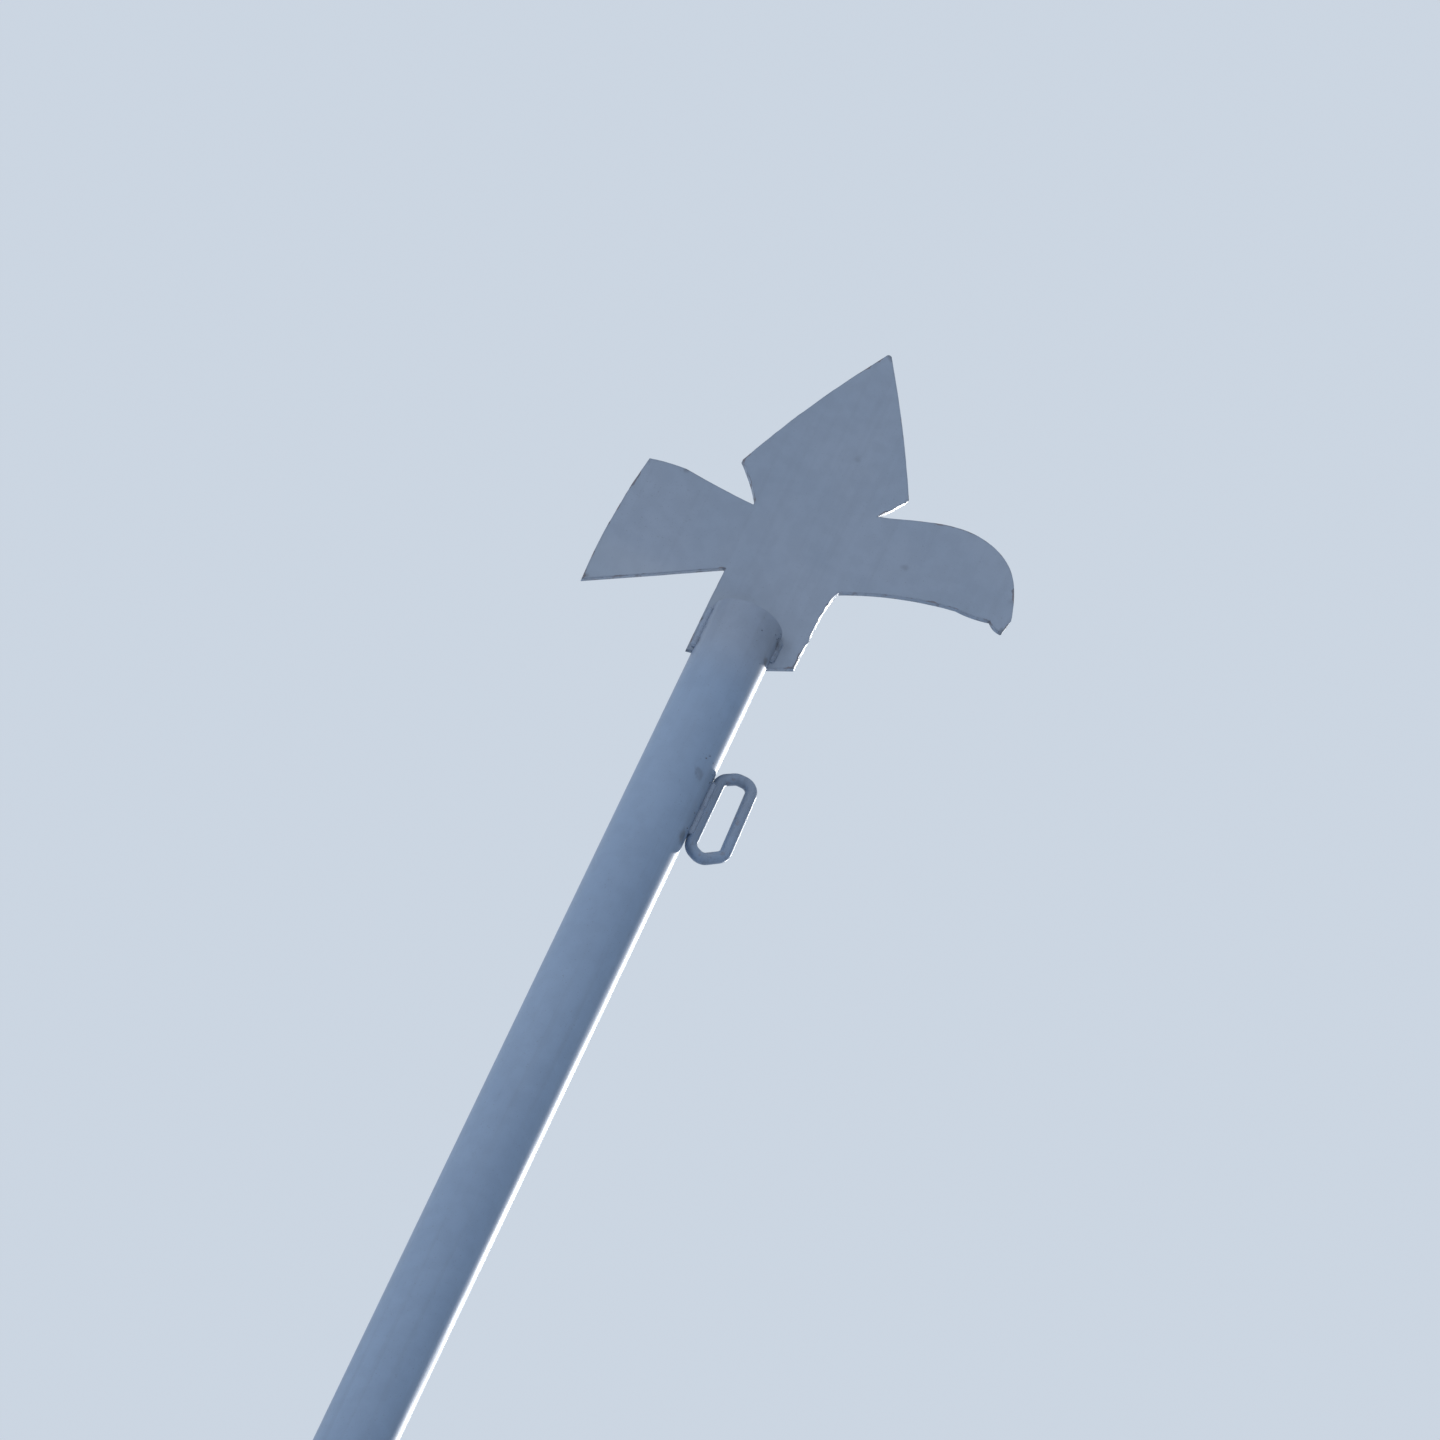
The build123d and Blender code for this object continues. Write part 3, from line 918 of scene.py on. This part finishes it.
# %% [markdown]
# The halyard ring is welded all along its long side, in two runs that start at the ends and
# meet in the middle. They fill the groove between the bar and the pipe on both sides.

# %% Beads at the halyard ring
bar_r = ring_high.y
groove_y = 0.72 * bar_r
groove_r = 3.1 * MM
groove_out = 1.2 * MM
for half, below, above in (("upper", 7.5 * MM, 2 * MM), ("lower", 0, 7.5 * MM)):
    low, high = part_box("ring_weld_" + half)
    beads = []
    for face in (-1, 1):
        start = (math.sqrt(pipe_r**2 - groove_y**2) + groove_out, face * groove_y, low.z - below)
        bead = straight_bead(high.z - low.z + below + above, groove_r, seed=31 + face + len(half))
        beads.append(lay_bead(bead, straight_path(start, (0, 0, 1), (0.6, face, 0))))
    new_bead(beads, "ring_bead_" + half, head_weld_finish, ("ring_weld_" + half,))

# %% [markdown]
# The pipe stands on the foot plate in one bead that runs right round it and laps over its
# own start. Each rib has an upright bead against the pipe and a level one along the plate,
# on both of its faces, which stop short of the corner that is cut away.

# %% Beads at the foot
foot_leg = 6 * MM
overlap = 5 * MM


def round_the_pipe(length):
    """A path round the pipe, where it meets the foot plate."""
    angle = length / pipe_r
    out_from_pipe = Vector((math.cos(angle), math.sin(angle), 0))
    return out_from_pipe * pipe_r + Vector((0, 0, foot_top)), out_from_pipe + Vector((0, 0, 1))


once_round = math.tau * pipe_r + overlap
bead = straight_bead(once_round, foot_leg * leg_to_radius, 2.4 * MM, seed=5)
new_bead([lay_bead(bead, round_the_pipe)], "foot_bead")

rib_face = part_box("rib_right")[1].y
corner_gap = 13 * MM
low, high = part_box("rib_weld_right")
rib_bead_r = (high.y - rib_face) * leg_to_radius
rib_ripple = 2.3 * MM
upright_x = math.sqrt(pipe_r**2 - rib_face**2)
upright_length = high.z - foot_top - corner_gap
level_length = high.x - pipe_r - corner_gap
for number, side in enumerate(("right", "back", "left", "front")):
    beads = []
    for face in (-1, 1):
        upright = straight_bead(upright_length, rib_bead_r, rib_ripple, seed=40 + number + 9 * face)
        start = (upright_x, face * rib_face, foot_top + corner_gap)
        beads.append(lay_bead(upright, straight_path(start, (0, 0, 1), (1, face, 0))))
        level = straight_bead(level_length, rib_bead_r, rib_ripple, seed=60 + number + 9 * face)
        start = (pipe_r + corner_gap, face * rib_face, foot_top)
        beads.append(lay_bead(level, straight_path(start, (1, 0, 0), (0, face, 1))))
    quarter_turns = Matrix.Rotation(number * math.pi / 2, 3, "Z")
    for bead in beads:
        bmesh.ops.rotate(bead, cent=ORIGIN, matrix=quarter_turns, verts=bead.verts)
    new_bead(beads, "rib_bead_" + side, stands_for=("rib_weld_" + side,))

# %% [markdown]
# The pipe's mouth is closed by two half-round plates. They are sealed to the pipe and to
# the bird with a thin bead, so no rain gets in.

# %% Beads at the pipe's mouth
cap_r = max(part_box("top_cap_front")[1].x, -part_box("top_cap_front")[0].x)
seal = 1.5 * MM
seal_ripple = 1.6 * MM
for side, sign in (("front", -1), ("back", 1)):
    opening = math.asin((plate_face + seal) / cap_r)

    def round_the_mouth(length):
        """A path round one half of the mouth."""
        angle = sign * (opening + length / cap_r)
        out_from_axis = Vector((math.cos(angle), math.sin(angle), 0))
        return out_from_axis * cap_r + Vector((0, 0, cap_top)), Vector((0, 0, 1)) - out_from_axis * 0.4

    arc = straight_bead((math.pi - 2 * opening) * cap_r, seal, seal_ripple, seed=81 + sign)
    half_chord = math.sqrt(cap_r**2 - plate_face**2)
    start = (-half_chord, sign * plate_face, cap_top)
    chord = straight_bead(2 * half_chord, seal, seal_ripple, seed=85 + sign)
    along_the_plate = straight_path(start, (1, 0, 0), (0, sign, 1))
    new_bead([lay_bead(arc, round_the_mouth), lay_bead(chord, along_the_plate)], "mouth_bead_" + side)

# %% [markdown]
# Each cleat post meets the round pipe in a saddle-shaped line, and a bead follows it.

# %% Beads at the cleat
post_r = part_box("cleat_post_upper")[1].y
for half, level in zip(("upper", "lower"), cleat_levels):

    def round_the_post(length):
        """A path round the post, over the curve of the pipe."""
        angle = length / post_r
        y, z = post_r * math.cos(angle), post_r * math.sin(angle)
        out_from_post = Vector((0, math.cos(angle), math.sin(angle)))
        return Vector((math.sqrt(pipe_r**2 - y**2), y, level + z)), out_from_post + Vector((1, 0, 0))

    once_round = math.tau * post_r + 2 * MM
    bead = straight_bead(once_round, 2.6 * MM, 1.8 * MM, seed=90 + len(half))
    new_bead([lay_bead(bead, round_the_post)], "cleat_bead_" + half)

# %% [markdown]
# Stick welding throws off drops that freeze on the steel nearby. A few dozen small beads,
# scattered thickly near each joint and thinly further off, are enough. They sit half sunk
# in the pipe.

# %% Weld spatter
dice = random.Random(16)
spatter = bmesh.new()
for centre, angle_spread, height_spread, count in (
    (Vector((pipe_r, 0, bird_low.z + 34 * MM)), 0.45, 14 * MM, 26),
    (Vector((-pipe_r, 0, bird_low.z + 20 * MM)), 0.4, 16 * MM, 16),
    (Vector((pipe_r, 0, ring_high.z - 14 * MM)), 0.5, 9 * MM, 20),
    (Vector((pipe_r, 0, ring_low.z + 22 * MM)), 0.5, 9 * MM, 16),
    *((foot, 0.45, 9 * MM, 12) for foot in cleat_feet),
):
    heading = math.atan2(centre.y, centre.x)
    for _ in range(count):
        angle = heading + dice.gauss(0, angle_spread)
        height = centre.z + dice.gauss(0, height_spread)
        height = min(height, pipe_top - 1 * MM)
        drop_r = dice.uniform(0.25, 0.75) * MM
        spot = Vector((math.cos(angle) * pipe_r, math.sin(angle) * pipe_r, height))
        bmesh.ops.create_icosphere(spatter, subdivisions=2, radius=drop_r, matrix=Matrix.Translation(spot))
new_piece(spatter, "weld_spatter", (weld_finish,))

# %% [markdown]
# The foot is held down by threaded bolts, each with a washer and a nut. Turned parts are
# spun from half of their section. The nut starts as a turned ring whose wall is then pulled
# in to six flats, which leaves the round chamfer that a real nut has. The thread is one
# notch, spun round many times as it climbs.


# %% Turned parts
def turned(profile, steps=48):
    """Spins a closed section of (radius, height) points about the Z axis."""
    form = bmesh.new()
    corners = [form.verts.new((radius, 0, height)) for radius, height in profile]
    loop = [form.edges.new((corners[index - 1], corners[index])) for index in range(len(corners))]
    bmesh.ops.spin(
        form, geom=[*corners, *loop], cent=ORIGIN, axis=(0, 0, 1), angle=math.tau, steps=steps,
        use_merge=True, use_duplicate=False,
    )
    bmesh.ops.remove_doubles(form, verts=form.verts, dist=0.001 * MM)
    bmesh.ops.recalc_face_normals(form, faces=form.faces)
    return form


def washer(inner_r, outer_r, thickness):
    """A flat ring with slightly rounded rims."""
    rim = 0.35 * MM
    return turned([
        (inner_r, 0), (outer_r - rim, 0), (outer_r, rim), (outer_r, thickness - rim),
        (outer_r - rim, thickness), (inner_r, thickness),
    ])


def hex_nut(across_flats, bore_r, height):
    """A nut with six flats and a round chamfer at both ends."""
    apothem = across_flats / 2
    corner_r = apothem / math.cos(math.pi / 6)
    bevel_rise = (corner_r - apothem) * 0.65
    levels = [share / 5 for share in range(6)]
    lower = [(apothem + (corner_r - apothem) * share, bevel_rise * share) for share in levels]
    upper = [(radius, height - rise) for radius, rise in reversed(lower)]
    mouth = 0.9 * MM
    form = turned(
        [(bore_r + mouth, 0), (apothem * 0.96, 0), *lower, *upper, (apothem * 0.96, height),
         (bore_r + mouth, height), (bore_r, height - mouth), (bore_r, mouth)],
        steps=96,
    )
    for corner in form.verts:
        radius = corner.co.xy.length
        angle = math.atan2(corner.co.y, corner.co.x)
        nearest_flat = round(angle / (math.pi / 3)) * math.pi / 3
        flat_r = apothem / math.cos(angle - nearest_flat)
        if radius > flat_r:
            corner.co.xy = corner.co.xy * flat_r / radius
    return form


def threaded_stud(radius, pitch, length):
    """A length of threaded rod with a flat top."""
    root_r = radius - 0.6 * pitch
    steps = 24
    turns = math.ceil(length / pitch) + 2
    form = bmesh.new()
    notch = [form.verts.new((root_r, 0, -pitch)), form.verts.new((radius, 0, -pitch * 0.56)),
             form.verts.new((radius, 0, -pitch * 0.44)), form.verts.new((root_r, 0, 0))]
    sides = [form.edges.new(pair) for pair in zip(notch, notch[1:])]
    bmesh.ops.spin(
        form, geom=[*notch, *sides], cent=ORIGIN, axis=(0, 0, 1), angle=math.tau * turns,
        steps=steps * turns, dvec=(0, 0, pitch / steps), use_duplicate=False,
    )
    bmesh.ops.remove_doubles(form, verts=form.verts, dist=0.01 * MM)
    for height, upwards in ((0, -1), (length, 1)):
        cut = bmesh.ops.bisect_plane(
            form, geom=[*form.verts, *form.edges, *form.faces], dist=0.001 * MM,
            plane_co=(0, 0, height), plane_no=(0, 0, upwards), clear_outer=True,
        )
        rim = [part for part in cut["geom_cut"] if isinstance(part, bmesh.types.BMEdge)]
        bmesh.ops.contextual_create(form, geom=rim)
    bmesh.ops.recalc_face_normals(form, faces=form.faces)
    return form


# %% [markdown]
# Four bolts come up through the holes of the foot plate. Each part is turned at random
# about its own bolt, because nobody lines up the flats of four nuts.

# %% Anchor bolts
bolt_r = 8 * MM
bolt_spacing = 180 * MM
thread_pitch = 2 * MM
washer_hole_r, washer_r, washer_thickness = 8.6 * MM, 15 * MM, 3 * MM
across_flats, nut_bore_r, nut_height = 24 * MM, bolt_r - 0.7 * MM, 13 * MM
stud_rise = 14 * MM
stud_length = foot_top + washer_thickness + nut_height + stud_rise
dice = random.Random(4)
for number, (side_x, side_y) in enumerate(((-1, -1), (-1, 1), (1, -1), (1, 1)), start=1):
    spot = Vector((side_x, side_y, 0)) * bolt_spacing / 2
    for name, form, height in (
        ("anchor_washer", washer(washer_hole_r, washer_r, washer_thickness), foot_top),
        ("anchor_nut", hex_nut(across_flats, nut_bore_r, nut_height), foot_top + washer_thickness),
        ("anchor_stud", threaded_stud(bolt_r, thread_pitch, stud_length), 0),
    ):
        turn = Matrix.Rotation(dice.uniform(0, math.tau), 4, "Z")
        form.transform(Matrix.Translation(spot + Vector((0, 0, height))) @ turn)
        new_piece(form, f"{name}_{number}", (zinc,), crease=35)
